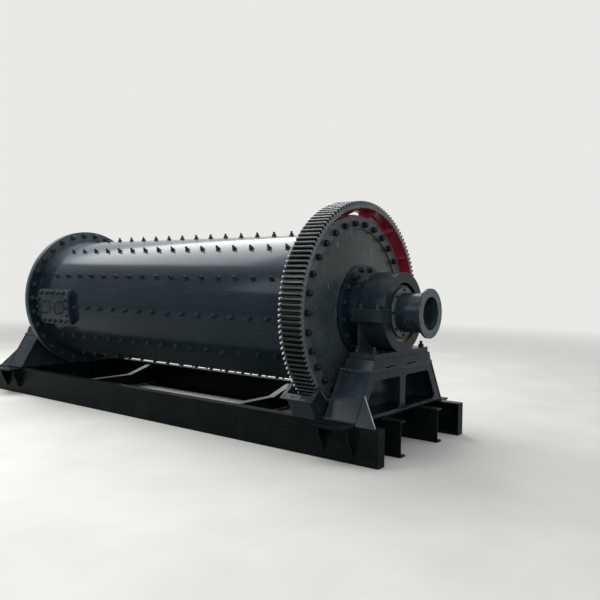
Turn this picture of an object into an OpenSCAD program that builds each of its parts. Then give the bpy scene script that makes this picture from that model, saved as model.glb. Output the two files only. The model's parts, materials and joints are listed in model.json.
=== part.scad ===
// Ball mill: a welded drum with a girth gear, carried by two trunnion bearings
// on A-shaped pedestals and a long base frame of steel channels.
// X runs along the drum towards the discharge end, Y to the rear, Z up. The
// origin is on the floor under the middle of the drum. Millimetres.

/* [Drum shell] */
// Outer radius of the shell plate
shell_r = 770; // [750:5:785]
// Thickness of the shell plate
shell_t = 20; // [12:1:30]
// Length of the shell between its two end faces
shell_len = 4500; // [4200:50:4800]
// Thickness of the flange rings and of the cover flanges
flange_t = 40; // [30:1:50]
// Width of the feed end's flange ring outside the shell
feed_flange_w = 150; // [130:5:165]
// Width of the discharge end's flange ring outside the shell
discharge_flange_w = 175; // [150:5:185]
// Number of bolts that hold each end together
flange_bolts = 30; // [20:2:36]
// Diameter of the holes for those bolts
flange_bolt_d = 42; // [30:1:48]

/* [End covers] */
// How far the cover's flange reaches inwards over the shell's end
cover_lip = 125; // [110:5:140]
// Depth of the step between the cover's flange and its cone
cover_step = 10; // [4:1:16]
// Rise of the cone from the flange to the trunnion's seat
cover_rise = 52; // [30:2:80]
// Wall of the cone, measured along the drum
cover_wall = 60; // [40:2:80]
// Depth of the spigot inside the shell
cover_spigot = 30; // [15:1:45]

/* [Trunnions] */
// Radius of the journal that runs in the bearing
journal_r = 265; // [255:1:275]
// Radius of the trunnion's bore
trunnion_bore_r = 190; // [170:1:205]
// Radius of the trunnion's flange on the end cover
trunnion_flange_r = 455; // [430:5:490]
// Thickness of that flange
trunnion_flange_t = 40; // [30:1:50]
// Height of the collar at the journal's inner end
collar_h = 20; // [8:1:24]
// Setback of the trunnion's end inside the bearing's end ring
end_recess = 20; // [10:1:24]
// Number of bolts in the trunnion's flange
trunnion_bolts = 16; // [12:2:20]
// Diameter of the holes for those bolts
trunnion_bolt_d = 32; // [24:1:38]

/* [Feed and discharge sleeves] */
// Inner radius of the sleeves
sleeve_bore_r = 157; // [140:1:165]
// Radius of the discharge sleeve's end flange
sleeve_flange_r = 235; // [220:1:250]
// Thickness of the sleeves' flanges
sleeve_flange_t = 25; // [16:1:32]
// How far the discharge sleeve stands out of its trunnion
discharge_reach = 300; // [230:5:340]
// How far the feed sleeve stands out of its trunnion
feed_reach = 165; // [120:5:240]
// Number of holes in a sleeve's end flange
sleeve_bolts = 8; // [6:1:12]
// Diameter of those holes
sleeve_bolt_d = 18; // [14:1:22]

/* [Girth gear] */
// Module of the teeth
gear_module = 16; // [15.6:0.1:16.6]
// Distance from the discharge end's flange ring to the inside of the toothed rim
web_gap = 75; // [60:1:90]
// Width of the toothed rim
gear_width = 240; // [200:10:260]
// Thickness of the rim under the teeth
rim_t = 32; // [24:1:36]
// Thickness of the web between the rim and the mounting ring
web_t = 38; // [28:1:46]
// How far the rim's middle stands outside the web's middle
rim_shift = 30; // [10:2:40]
// Number of openings in the web, with a rib between each two
web_openings = 16; // [12:2:20]
// Height of the openings
opening_h = 50; // [30:2:54]
// Thickness of the ribs
gear_rib_t = 18; // [12:1:28]

/* [Bearings] */
// Height from the pedestal's top plate to the axis
bearing_h = 509; // [490:1:520]
// Thickness of the sole plate
sole_t = 90; // [70:1:105]
// How far the sole plate stands out past the foot flange, across the mill
sole_reach = 60; // [20:2:66]
// Height of the two slots under the sole plate
sole_slot_h = 14; // [8:1:24]
// Length of the slots across the mill
sole_slot_w = 170; // [100:5:200]
// Place of the front slot's middle
slot_front_y = -260; // [-400:10:-150]
// Place of the rear slot's middle
slot_rear_y = 150; // [130:10:400]
// Thickness of the bearing's foot flange
bearing_foot_t = 50; // [40:1:65]
// Half the length of the foot flange across the mill
bearing_foot_y = 525; // [490:5:530]
// Half the width of the upright plate on the drum's side
housing_y = 400; // [390:5:420]
// Length of the saddle between the end walls
housing_len = 225; // [210:5:235]
// Thickness of the end walls
housing_wall = 25; // [16:1:30]
// Radius of the saddle under the bush
saddle_r = 375; // [340:1:380]
// Radius of the end ring and of the cap
housing_r = 385; // [382:1:388]
// Half the width of the joint flanges across the mill
joint_y = 475; // [460:5:490]
// Thickness of the lower joint flange
joint_t = 78; // [50:1:90]
// Thickness of the cap's joint flange
cap_joint_t = 36; // [24:1:60]
// How far the joint flanges stand out past the end walls
joint_over = 24; // [10:1:30]
// Thickness of the bush
bush_t = 40; // [30:1:45]
// Running clearance between the journal and the bush
bush_gap = 0.08; // [0.05:0.01:0.1]
// Clearance between the bush and its seat in the housing
bush_seat = 0.1; // [0.05:0.05:0.3]
// Offset of the housing's middle from the pedestal's middle
housing_shift = 22.5; // [10:0.5:25]

/* [Pedestals] */
// Distance from the shell's end face to the pedestal's middle
pedestal_gap = 410; // [400:5:440]
// Width of the pedestals along the mill
pedestal_w = 320; // [310:5:340]
// Half the length of a pedestal's top across the mill
pedestal_top_y = 600; // [580:5:620]
// Distance from the outer beams' faces in to the pedestals' feet
foot_inset = 16; // [8:1:50]
// Thickness of the pedestals' plates
pedestal_t = 16; // [10:1:22]
// Thickness of the top plate
top_plate_t = 25; // [16:1:35]
// Thickness of the base plate
base_plate_t = 20; // [14:1:30]
// How far the base plates stand out past the outer beams
foot_reach = 164; // [120:2:200]
// Thickness of the ribs under the foot plates
foot_rib_t = 16; // [10:1:22]
// How far the ribs reach out from the outer beams
foot_rib_w = 100; // [70:5:115]
// Height of the ribs along the beams
foot_rib_h = 225; // [120:5:250]
// Height of the ribs' upright outer edge
foot_rib_edge = 70; // [30:5:100]
// Width of the legs beside the windows
leg_w = 115; // [80:5:150]
// Width of the post between the two windows
post_w = 100; // [70:5:140]
// Height of the plate above the windows
window_head = 72; // [50:2:100]
// Height of the plate below the windows
window_sill = 22; // [14:1:50]
// Radius of the windows' corners
window_r = 35; // [15:1:45]
// Size of the corner gussets along the mill
gusset_x = 200; // [120:5:220]
// Height of the corner gussets
gusset_z = 250; // [120:5:290]
// Diameter of the anchor holes
anchor_d = 32; // [24:1:40]
// Distance between the two anchor holes of a foot
anchor_pitch = 180; // [120:5:220]

/* [Base frame] */
// Height of the beams
beam_h = 330; // [300:5:345]
// Width of the outer beams' flanges
outer_beam_b = 106; // [80:2:120]
// Width of the inner beams' flanges
inner_beam_b = 90; // [70:2:100]
// Thickness of the beams' webs
beam_web_t = 10; // [8:0.5:14]
// Thickness of the beams' flanges
beam_flange_t = 16; // [11:0.5:20]
// Thickness of the plates that close the outer beams' ends
end_plate_t = 10; // [6:1:16]
// Thickness of the plates that tie the beams together under a pedestal
tie_t = 12; // [8:1:20]
// Distance from the middle of the base to the outer beams' faces
base_half_y = 861; // [850:1:880]
// Distance from the middle of the base to the inner beams' middle
inner_beam_y = 372; // [340:2:420]
// How far the base runs past the discharge pedestal's middle
discharge_overrun = 405; // [395:5:460]
// How far the base runs past the feed pedestal's middle
feed_overrun = 440; // [395:5:460]
// Setback of the inner beams from the outer beams' ends
inner_setback = 30; // [10:2:60]
// Length of the inner beams from their setback ends
inner_beam_len = 560; // [545:5:565]
// Place of the cross member near the gear
cross_1_x = 850; // [600:50:1200]
// Place of the cross member near the feed end
cross_2_x = -1800; // [-2000:50:-1400]
// Height of the cross members' low middle part
cross_low_z = 190; // [150:5:230]
// Height of the cross members at the beams
cross_high_z = 300; // [260:5:305]
// Half the length of the low middle part
cross_flat_y = 400; // [300:10:500]
// Width of the cross members' flanges
cross_b = 90; // [70:5:120]
// Thickness of the cross members' plates
cross_t = 12; // [8:1:18]

/* [Gear guard] */
// Height of the guard's lowest point above the floor
guard_floor = 103; // [80:1:140]
// Clearance between the teeth and the guard's wrapper
guard_gap = 90; // [60:2:96]
// Clearance between the gear's faces and the guard's side walls
guard_side_gap = 17; // [12:1:25]
// Thickness of the guard's sheet
guard_t = 8; // [5:0.5:10]
// Depth of the side walls below the tooth tips
guard_cover = 28; // [10:2:60]
// Half the angle that the guard spans under the gear
guard_half_angle = 51; // [46:1:54]
// Width of the end flanges beside the side walls
guard_flange_w = 36; // [24:2:40]
// Width of the end flanges outside the wrapper
guard_front_w = 60; // [44:2:70]
// Thickness of the end flanges
guard_flange_t = 14; // [8:1:20]
// Diameter of the bolt holes in the end flanges
guard_bolt_d = 18; // [12:1:22]
// Thickness of the brackets' plates
guard_plate_t = 10; // [6:1:16]

/* [Manhole] */
// Distance from the shell's feed end to the middle of the manhole
manhole_x = 455; // [420:5:600]
// Angle of the manhole's middle from the drum's top towards the front
manhole_angle = 97.1; // [80:0.1:110]
// Length of the manhole's frame along the drum
manhole_w = 700; // [600:10:760]
// Height of the frame across the drum
manhole_h = 460; // [400:10:560]
// Width of the frame
manhole_frame_w = 70; // [50:5:90]
// Height of the frame above the shell
manhole_rise = 50; // [30:2:60]
// Thickness of the cover
manhole_cover_t = 24; // [14:1:32]
// Radius of the frame's corners
manhole_corner = 90; // [72:2:120]

/* [Hidden] */
$fn = 180;

// Overrun of the cutting solids
eps = 1;
end_x = shell_len / 2;

// Flanges and covers
discharge_flange_r = shell_r + discharge_flange_w;
feed_flange_r = shell_r + feed_flange_w;
bolt_circle_r = shell_r + 95;
lip_r = discharge_flange_r - cover_lip;
spigot_r = shell_r - shell_t - 0.3;
seat_x = end_x + flange_t + cover_rise;
seat_r = trunnion_flange_r + 10;
trunnion_pcr = trunnion_flange_r - 45;

// Girth gear, with the number of teeth that comes nearest to the gap beside the web
gear_teeth = 2 * round((discharge_flange_r + web_gap + rim_t) / gear_module + 1.25);
pitch_r = gear_module * gear_teeth / 2;
tip_r = pitch_r + gear_module;
root_r = pitch_r - 1.25 * gear_module;
rim_in_r = root_r - rim_t;
pressure_angle = 20;
base_r = pitch_r * cos(pressure_angle);
flank_steps = 3;
web_x0 = end_x - web_t;
gear_mid = end_x - web_t / 2 + rim_shift;
gear_x0 = gear_mid - gear_width / 2;
gear_x1 = gear_mid + gear_width / 2;

// Gear guard, about the drum's axis
guard_r = tip_r + guard_gap + guard_t;
guard_flange_r = guard_r + guard_front_w;
guard_in_r = tip_r - guard_cover;
guard_half_x = gear_width / 2 + guard_side_gap + guard_t;

// Trunnions and bearings, measured from the shell's end face outwards
pedestal_mid = end_x + pedestal_gap;
housing_mid = pedestal_mid + housing_shift;
housing_x0 = housing_mid - housing_len / 2 - housing_wall;
housing_x1 = housing_mid + housing_len / 2 + housing_wall;
journal_x0 = housing_x0 - joint_over - 20;
collar_len = 35;
trunnion_x1 = housing_x1 - end_recess;
foot_x0 = housing_x0 - 5;
foot_x1 = housing_x1 - 5;
bush_r = journal_r + bush_gap + bush_t;
end_bore_r = journal_r + collar_h;

// Heights
axis_h = guard_floor + guard_r;
pedestal_top_z = axis_h - bearing_h;
sole_top_z = pedestal_top_z + sole_t;
foot_top_z = sole_top_z + bearing_foot_t;
base_plate_top = beam_h + base_plate_t;
foot_plate_z0 = beam_h - base_plate_t;
leg_top_z = pedestal_top_z - top_plate_t;

// Base frame
base_x1 = pedestal_mid + discharge_overrun;
base_x0 = -pedestal_mid - feed_overrun;
foot_y = base_half_y + foot_reach;
anchor_y = base_half_y + foot_reach * 0.65;
pedestal_foot_y = base_half_y - foot_inset;

paint = "#3f4b56";
base_paint = "#23302e";
head_paint = "#6d7672";
gear_steel = "#8a9495";
gear_red = "#a8283a";

// Turns a profile of [radius, x] points about the drum's axis
module turned(points) {
    translate([0, 0, axis_h])
        rotate([0, 90, 0])
            rotate_extrude()
                polygon(points);
}

// Draws children with x as radius and z along the drum, at an angle from straight down
module spoke(angle) {
    translate([0, 0, axis_h])
        rotate([0, 90, 0])
            rotate([0, 0, angle])
                children();
}

// Extrudes an outline of [y, z] points from x0 to x1
module along_x(x0, x1) {
    translate([x0, 0, 0])
        rotate([90, 0, 90])
            linear_extrude(x1 - x0)
                children();
}

// A box between two corners
module block(a, b) {
    translate(a)
        cube(b - a);
}

// Round holes along the drum, evenly round its axis
module hole_ring(count, circle_r, d, x0, x1) {
    for (i = [0 : count - 1])
        spoke((i + 0.5) * 360 / count)
            translate([circle_r, 0, x0 - eps])
                cylinder(d = d, h = x1 - x0 + 2 * eps);
}

// The same piece at the feed end
module at_feed() {
    mirror([1, 0, 0])
        children();
}

// Points of an outline with its corners rounded by radius r
function unit(v) = v / norm(v);
function rounded(pts, r, steps = 6) = [
    for (i = [0 : len(pts) - 1])
        let (
            p = pts[i],
            a = unit(pts[(i + len(pts) - 1) % len(pts)] - p),
            b = unit(pts[(i + 1) % len(pts)] - p),
            half = acos(max(-1, min(1, a * b))) / 2,
            centre = p + unit(a + b) * r / sin(half),
            from = p + a * r / tan(half) - centre,
            to = p + b * r / tan(half) - centre,
            a0 = atan2(from[1], from[0]),
            turn = (atan2(to[1], to[0]) - a0 + 540) % 360 - 180
        )
            for (k = [0 : steps])
                centre + r * [cos(a0 + turn * k / steps), sin(a0 + turn * k / steps)]
];

// Drum

module shell() {
    color(paint)
        difference() {
            translate([-end_x, 0, axis_h])
                rotate([0, 90, 0])
                    cylinder(r = shell_r, h = shell_len);
            translate([-end_x - eps, 0, axis_h])
                rotate([0, 90, 0])
                    cylinder(r = shell_r - shell_t, h = shell_len + 2 * eps);
            manhole_prism(manhole_w - 2 * manhole_frame_w, manhole_h - 2 * manhole_frame_w, manhole_corner - 50);
        }
}

module shell_flange(flange_r, x1) {
    color(paint)
        difference() {
            turned([[shell_r, x1 - flange_t], [flange_r, x1 - flange_t], [flange_r, x1], [shell_r, x1]]);
            hole_ring(flange_bolts, bolt_circle_r, flange_bolt_d, x1 - flange_t, x1);
        }
}

// The end cover with its flange, its cone and the seat of the trunnion
module end_cover(flange_r) {
    color(head_paint)
        difference() {
            turned([
                [flange_r, end_x],
                [flange_r, end_x + flange_t],
                [lip_r, end_x + flange_t],
                [lip_r, end_x + flange_t - cover_step],
                [seat_r, seat_x - 12],
                [seat_r, seat_x],
                [trunnion_bore_r + 10, seat_x],
                [trunnion_bore_r + 10, seat_x - cover_wall],
                [seat_r, seat_x - cover_wall - 12],
                [spigot_r - 60, end_x - cover_spigot],
                [spigot_r, end_x - cover_spigot],
                [spigot_r, end_x]
            ]);
            hole_ring(flange_bolts, bolt_circle_r, flange_bolt_d, end_x, end_x + flange_t);
        }
}

// The hollow trunnion: flange, flared neck, collar and journal
module trunnion() {
    color(paint)
        difference() {
            turned([
                [trunnion_bore_r, seat_x],
                [trunnion_flange_r, seat_x],
                [trunnion_flange_r, seat_x + trunnion_flange_t],
                [journal_r + 70, seat_x + trunnion_flange_t],
                [journal_r + 40, seat_x + trunnion_flange_t + 12],
                [journal_r + collar_h, journal_x0 - collar_len],
                [journal_r + collar_h, journal_x0],
                [journal_r, journal_x0],
                [journal_r, trunnion_x1],
                [trunnion_bore_r, trunnion_x1]
            ]);
            hole_ring(trunnion_bolts, trunnion_pcr, trunnion_bolt_d, seat_x, seat_x + trunnion_flange_t);
        }
}

// The sleeve inside a trunnion, bolted to its end, with a flange for a chute
module sleeve(reach) {
    end = trunnion_x1 + reach;
    mount_r = journal_r - 25;
    mount_x1 = trunnion_x1 + end_recess - 5;
    tube_r = trunnion_bore_r - 1;
    neck_r = trunnion_bore_r;
    color(head_paint)
        difference() {
            turned([
                [sleeve_bore_r, seat_x],
                [tube_r, seat_x],
                [tube_r, trunnion_x1],
                [mount_r, trunnion_x1],
                [mount_r, mount_x1],
                [neck_r, mount_x1],
                [neck_r, end - sleeve_flange_t],
                [sleeve_flange_r, end - sleeve_flange_t],
                [sleeve_flange_r, end],
                [sleeve_bore_r, end]
            ]);
            hole_ring(sleeve_bolts, sleeve_flange_r - 24, sleeve_bolt_d, end - sleeve_flange_t, end);
        }
}

// Girth gear

// Involute of an angle, in degrees
function inv(a) = tan(a) * 180 / PI - a;
// Half the tooth's angle at a radius
function half_tooth(r) = 90 / gear_teeth + inv(pressure_angle) - inv(acos(base_r / r));
function flank_r(k) = root_r + (tip_r - root_r) * k / flank_steps;
function polar(r, a) = r * [cos(a), sin(a)];
function tooth(mid) = concat(
    [for (k = [0 : flank_steps]) polar(flank_r(k), mid - half_tooth(flank_r(k)))],
    [for (k = [flank_steps : -1 : 0]) polar(flank_r(k), mid + half_tooth(flank_r(k)))]
);

module girth_gear_rim() {
    color(gear_steel)
        spoke(0)
            translate([0, 0, gear_x0])
                difference() {
                    linear_extrude(gear_width)
                        polygon([for (i = [0 : gear_teeth - 1]) each tooth(i * 360 / gear_teeth)]);
                    translate([0, 0, -eps])
                        cylinder(r = rim_in_r, h = gear_width + 2 * eps);
                }
}

// Outline of a curved slot with round ends, at a radius, h being half its height
function slot(r, h, half) = concat(
    [for (k = [0 : 6]) polar(r + h, -half + k * half / 3)],
    [for (k = [1 : 5]) polar(r, half) + polar(h, half + 30 * k)],
    [for (k = [6 : -1 : 0]) polar(r - h, -half + k * half / 3)],
    [for (k = [1 : 5]) polar(r, -half) + polar(h, 180 - half + 30 * k)]
);

// The web with its mounting ring, its openings and the ribs on both sides
module girth_gear_web() {
    open_mid = (discharge_flange_r + rim_in_r) / 2;
    open_h = min(opening_h, rim_in_r - discharge_flange_r - 16) / 2;
    step = 360 / web_openings;
    rib_r0 = discharge_flange_r + 6;
    rib_r1 = rim_in_r - 0.2;
    side = 20;
    color(gear_red)
        union() {
            difference() {
                turned([[shell_r, web_x0], [rim_in_r, web_x0], [rim_in_r, end_x], [shell_r, end_x]]);
                hole_ring(flange_bolts, bolt_circle_r, flange_bolt_d, web_x0, end_x);
                for (i = [0 : web_openings - 1])
                    spoke(i * step)
                        translate([0, 0, web_x0 - eps])
                            linear_extrude(web_t + 2 * eps)
                                polygon(slot(open_mid, open_h, step / 2 - 4));
            }
            for (i = [0 : web_openings - 1])
                spoke((i + 0.5) * step)
                    rotate([90, 0, 0])
                        linear_extrude(gear_rib_t, center = true)
                            polygon([
                                [rib_r0, web_x0], [rib_r1 - 30, gear_x0 + side], [rib_r1, gear_x0 + side],
                                [rib_r1, gear_x1 - side], [rib_r1 - 30, gear_x1 - side], [rib_r0, end_x]
                            ]);
        }
}

// Manhole

// A rounded bar that runs out from the drum's axis at the manhole's angle
module manhole_prism(w, h, r) {
    translate([manhole_x - end_x, 0, axis_h])
        rotate([manhole_angle, 0, 0])
            linear_extrude(shell_r * 2)
                polygon(rounded([[-w / 2, -h / 2], [w / 2, -h / 2], [w / 2, h / 2], [-w / 2, h / 2]], r));
}

module drum_layer(r0, r1) {
    difference() {
        translate([-end_x, 0, axis_h])
            rotate([0, 90, 0])
                cylinder(r = r1, h = manhole_x * 2);
        translate([-end_x - eps, 0, axis_h])
            rotate([0, 90, 0])
                cylinder(r = r0, h = manhole_x * 2 + 2 * eps);
    }
}

module manhole_frame() {
    color(paint)
        difference() {
            intersection() {
                drum_layer(shell_r, shell_r + manhole_rise);
                manhole_prism(manhole_w, manhole_h, manhole_corner);
            }
            manhole_prism(manhole_w - 2 * manhole_frame_w, manhole_h - 2 * manhole_frame_w, manhole_corner - 50);
        }
}

module manhole_cover() {
    color(paint)
        intersection() {
            drum_layer(shell_r + manhole_rise, shell_r + manhole_rise + manhole_cover_t);
            manhole_prism(manhole_w - 24, manhole_h - 24, manhole_corner - 12);
        }
}

// Base frame

// Outline of a channel: web at y = 0, flanges towards +y
module channel(b) {
    polygon([
        [0, 0], [b, 0], [b, beam_flange_t], [beam_web_t, beam_flange_t],
        [beam_web_t, beam_h - beam_flange_t], [b, beam_h - beam_flange_t], [b, beam_h], [0, beam_h]
    ]);
}

// The front long beam: flat web outwards, both ends closed by plates
module outer_beam() {
    color(base_paint)
        union() {
            translate([0, -base_half_y, 0])
                along_x(base_x0, base_x1)
                    channel(outer_beam_b);
            for (x = [base_x0, base_x1 - end_plate_t])
                block([x, -base_half_y, 0], [x + end_plate_t, -base_half_y + outer_beam_b, beam_h]);
        }
}

module front_outer_beam() {
    outer_beam();
}

module rear_outer_beam() {
    mirror([0, 1, 0])
        outer_beam();
}

// The two short beams under a pedestal, both with their webs to the front
module inner_beams(x0, x1) {
    color(base_paint)
        for (y = [-inner_beam_y, inner_beam_y])
            translate([0, y - inner_beam_b / 2, 0])
                along_x(x0, x1)
                    channel(inner_beam_b);
}

module discharge_inner_beams() {
    inner_beams(base_x1 - inner_setback - inner_beam_len, base_x1 - inner_setback);
}

module feed_inner_beams() {
    inner_beams(base_x0 + inner_setback, base_x0 + inner_setback + inner_beam_len);
}

// Plates that tie the four beams together under a pedestal's middle
module tie_plates(x) {
    inside = base_half_y - beam_web_t;
    color(base_paint)
        difference() {
            block([x - tie_t / 2, -inside, beam_flange_t], [x + tie_t / 2, inside, beam_h - beam_flange_t]);
            for (y = [-inner_beam_y, inner_beam_y])
                block([x - tie_t, y - inner_beam_b / 2, 0],
                    [x + tie_t, y - inner_beam_b / 2 + beam_web_t, beam_h]);
        }
}

module discharge_tie_plates() {
    tie_plates(pedestal_mid);
}

module feed_tie_plates() {
    tie_plates(-pedestal_mid);
}

// A cross member with a low middle part and ramps up to the beams
module cross_member(x) {
    y1 = base_half_y - beam_web_t;
    y2 = base_half_y - outer_beam_b;
    low = cross_low_z;
    high = cross_high_z;
    bottom = beam_flange_t;
    color(base_paint)
        union() {
            along_x(x - cross_t / 2, x + cross_t / 2)
                polygon([
                    [-y1, bottom], [y1, bottom], [y1, high], [y2, high],
                    [cross_flat_y, low], [-cross_flat_y, low], [-y2, high], [-y1, high]
                ]);
            along_x(x - cross_b / 2, x + cross_b / 2)
                polygon([
                    [-y1, high - cross_t], [-y2, high - cross_t],
                    [-cross_flat_y, low - cross_t], [cross_flat_y, low - cross_t],
                    [y2, high - cross_t], [y1, high - cross_t],
                    [y1, high], [y2, high], [cross_flat_y, low], [-cross_flat_y, low],
                    [-y2, high], [-y1, high]
                ]);
            along_x(x - cross_b / 2, x + cross_b / 2)
                polygon([[-y1, bottom], [y1, bottom], [y1, bottom + cross_t], [-y1, bottom + cross_t]]);
        }
}

module gear_side_cross_member() {
    cross_member(cross_1_x);
}

module feed_side_cross_member() {
    cross_member(cross_2_x);
}

// Pedestals, drawn for the discharge end

pedestal_x0 = pedestal_mid - pedestal_w / 2;
pedestal_x1 = pedestal_mid + pedestal_w / 2;

// The base plate on the beams, with the foot plates and their ribs outside them
module base_plate() {
    over = 14;
    rib_foot = 20;
    z0 = foot_plate_z0;
    color(base_paint)
        difference() {
            union() {
                block([pedestal_x0, -base_half_y - over, beam_h], [pedestal_x1, base_half_y + over, base_plate_top]);
                for (s = [0, 1])
                    mirror([0, s, 0]) {
                        block([pedestal_x0, base_half_y, z0], [pedestal_x1, foot_y, beam_h]);
                        for (x = [pedestal_x0, pedestal_x1 - foot_rib_t])
                            along_x(x, x + foot_rib_t)
                                polygon([
                                    [base_half_y, z0], [base_half_y + foot_rib_w, z0],
                                    [base_half_y + foot_rib_w, z0 - foot_rib_edge],
                                    [base_half_y + rib_foot, z0 - foot_rib_h], [base_half_y, z0 - foot_rib_h]
                                ]);
                    }
            }
            for (s = [-1, 1], dx = [-anchor_pitch / 2, anchor_pitch / 2])
                translate([pedestal_mid + dx, s * anchor_y, z0 - eps])
                    cylinder(d = anchor_d, h = base_plate_t + 2 * eps);
        }
}

// Half the pedestal's length at a height
function leg_y(z) = pedestal_foot_y
    + (pedestal_top_y - pedestal_foot_y) * (z - base_plate_top) / (leg_top_z - base_plate_top);

// One window of a side plate, for the +Y side
module window() {
    z0 = base_plate_top + window_sill;
    z1 = leg_top_z - window_head;
    polygon(rounded([
        [post_w / 2, z0], [leg_y(z0) - leg_w, z0], [leg_y(z1) - leg_w, z1], [post_w / 2, z1]
    ], window_r));
}

module side_outline() {
    polygon([
        [-pedestal_foot_y, base_plate_top], [pedestal_foot_y, base_plate_top],
        [pedestal_top_y, leg_top_z], [-pedestal_top_y, leg_top_z]
    ]);
}

// The closed plate on the drum's side and the outer one with its two windows
module pedestal_sides() {
    color(paint) {
        along_x(pedestal_x0, pedestal_x0 + pedestal_t)
            side_outline();
        along_x(pedestal_x1 - pedestal_t, pedestal_x1)
            difference() {
                side_outline();
                window();
                mirror([1, 0])
                    window();
            }
    }
}

// Outline of the sloping plate on the +Y side, down to a height z0
module slope_outline(z0) {
    polygon([
        [leg_y(z0) - pedestal_t, z0], [leg_y(z0), z0],
        [pedestal_top_y, leg_top_z], [pedestal_top_y - pedestal_t, leg_top_z]
    ]);
}

// The sloping plates between the sides, and the gussets in line with them
module pedestal_slopes() {
    color(paint)
        for (s = [0, 1])
            mirror([0, s, 0])
                union() {
                    along_x(pedestal_x0 + pedestal_t, pedestal_x1 - pedestal_t)
                        slope_outline(base_plate_top);
                    intersection() {
                        along_x(pedestal_x1, pedestal_x1 + gusset_x)
                            slope_outline(beam_h);
                        translate([0, base_half_y * 1.5, 0])
                            rotate([90, 0, 0])
                                linear_extrude(base_half_y * 1.5)
                                    polygon([
                                        [pedestal_x1, beam_h], [pedestal_x1 + gusset_x, beam_h],
                                        [pedestal_x1 + gusset_x, beam_h + 12],
                                        [pedestal_x1, beam_h + gusset_z]
                                    ]);
                    }
                }
}

module top_plate() {
    lip = 6;
    color(paint)
        block([pedestal_x0 - lip, -pedestal_top_y - lip, leg_top_z],
            [pedestal_x1 + lip, pedestal_top_y + lip, pedestal_top_z]);
}

module sole_plate() {
    lip = 8;
    sole_y = bearing_foot_y + sole_reach;
    color(paint)
        difference() {
            block([foot_x0 - lip, -sole_y, pedestal_top_z], [foot_x1 + lip, sole_y, sole_top_z]);
            for (y = [slot_front_y, slot_rear_y])
                block([foot_x0 - lip - eps, y - sole_slot_w / 2, pedestal_top_z - eps],
                    [foot_x1 + lip + eps, y + sole_slot_w / 2, pedestal_top_z + sole_slot_h]);
        }
}

// Bearings, drawn for the discharge end

// The round space for the bush, and the narrower ones in the end walls
module bearing_bore() {
    x0 = housing_x0 + housing_wall;
    translate([x0, 0, axis_h])
        rotate([0, 90, 0])
            cylinder(r = bush_r + bush_seat, h = housing_len);
    translate([housing_x0 - joint_over - eps, 0, axis_h])
        rotate([0, 90, 0])
            cylinder(r = end_bore_r, h = housing_len + 2 * (housing_wall + joint_over + eps));
}

// A cylinder about the drum's axis from x0 to x1
module drum_bar(r, x0, x1) {
    translate([x0, 0, axis_h])
        rotate([0, 90, 0])
            cylinder(r = r, h = x1 - x0);
}

module bearing_housing() {
    inner_x = housing_x0 + housing_wall;
    outer_x = housing_x1 - housing_wall;
    color(paint)
        difference() {
            union() {
                block([foot_x0, -bearing_foot_y, sole_top_z], [foot_x1, bearing_foot_y, foot_top_z]);
                block([housing_x0, -housing_y, sole_top_z], [inner_x, housing_y, axis_h]);
                block([housing_x0 - joint_over, -joint_y, axis_h - joint_t],
                    [housing_x1 + joint_over, joint_y, axis_h]);
                intersection() {
                    union() {
                        drum_bar(saddle_r, inner_x, outer_x);
                        drum_bar(housing_r, outer_x, housing_x1);
                    }
                    block([inner_x, -housing_r - eps, sole_top_z], [housing_x1, housing_r + eps, axis_h]);
                }
            }
            bearing_bore();
        }
}

// The lower half of the bearing's bush
module bearing_bush() {
    color("#b7a777")
        spoke(-75)
            translate([0, 0, housing_x0 + housing_wall])
                rotate_extrude(angle = 150)
                    translate([journal_r + bush_gap, 0])
                        square([bush_t, housing_len]);
}

module bearing_cap() {
    color(paint)
        difference() {
            union() {
                intersection() {
                    drum_bar(housing_r, housing_x0, housing_x1);
                    block([housing_x0, -housing_r - eps, axis_h],
                        [housing_x1, housing_r + eps, axis_h + housing_r + eps]);
                }
                block([housing_x0 - joint_over, -joint_y, axis_h],
                    [housing_x1 + joint_over, joint_y, axis_h + cap_joint_t]);
            }
            bearing_bore();
        }
}

// Gear guard

// An open-topped trough round the lower teeth, with a flange at both ends
module gear_guard() {
    color(paint)
        union() {
            spoke(-guard_half_angle)
                rotate_extrude(angle = 2 * guard_half_angle)
                    translate([0, gear_mid])
                        polygon([
                            [guard_in_r, -guard_half_x], [guard_r, -guard_half_x],
                            [guard_r, guard_half_x], [guard_in_r, guard_half_x],
                            [guard_in_r, guard_half_x - guard_t], [guard_r - guard_t, guard_half_x - guard_t],
                            [guard_r - guard_t, -guard_half_x + guard_t], [guard_in_r, -guard_half_x + guard_t]
                        ]);
            for (s = [0, 1])
                mirror([0, s, 0])
                    spoke(guard_half_angle)
                        rotate([90, 0, 0])
                            linear_extrude(guard_flange_t)
                                difference() {
                                    translate([guard_in_r, gear_mid - guard_half_x - guard_flange_w])
                                        square([guard_flange_r - guard_in_r, 2 * (guard_half_x + guard_flange_w)]);
                                    translate([guard_in_r - eps, gear_mid - guard_half_x + guard_t])
                                        square([guard_r - guard_t - guard_in_r + eps, 2 * (guard_half_x - guard_t)]);
                                    for (k = [-1.5 : 1.5])
                                        translate([guard_r + guard_front_w / 2, gear_mid + k * guard_half_x / 1.5])
                                            circle(d = guard_bolt_d);
                                }
        }
}

// A point on the underside of the guard's rear end flange, as [y, z]
function under_flange(r) = [
    r * sin(guard_half_angle) - guard_flange_t * cos(guard_half_angle),
    axis_h - r * cos(guard_half_angle) - guard_flange_t * sin(guard_half_angle)
];

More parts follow.
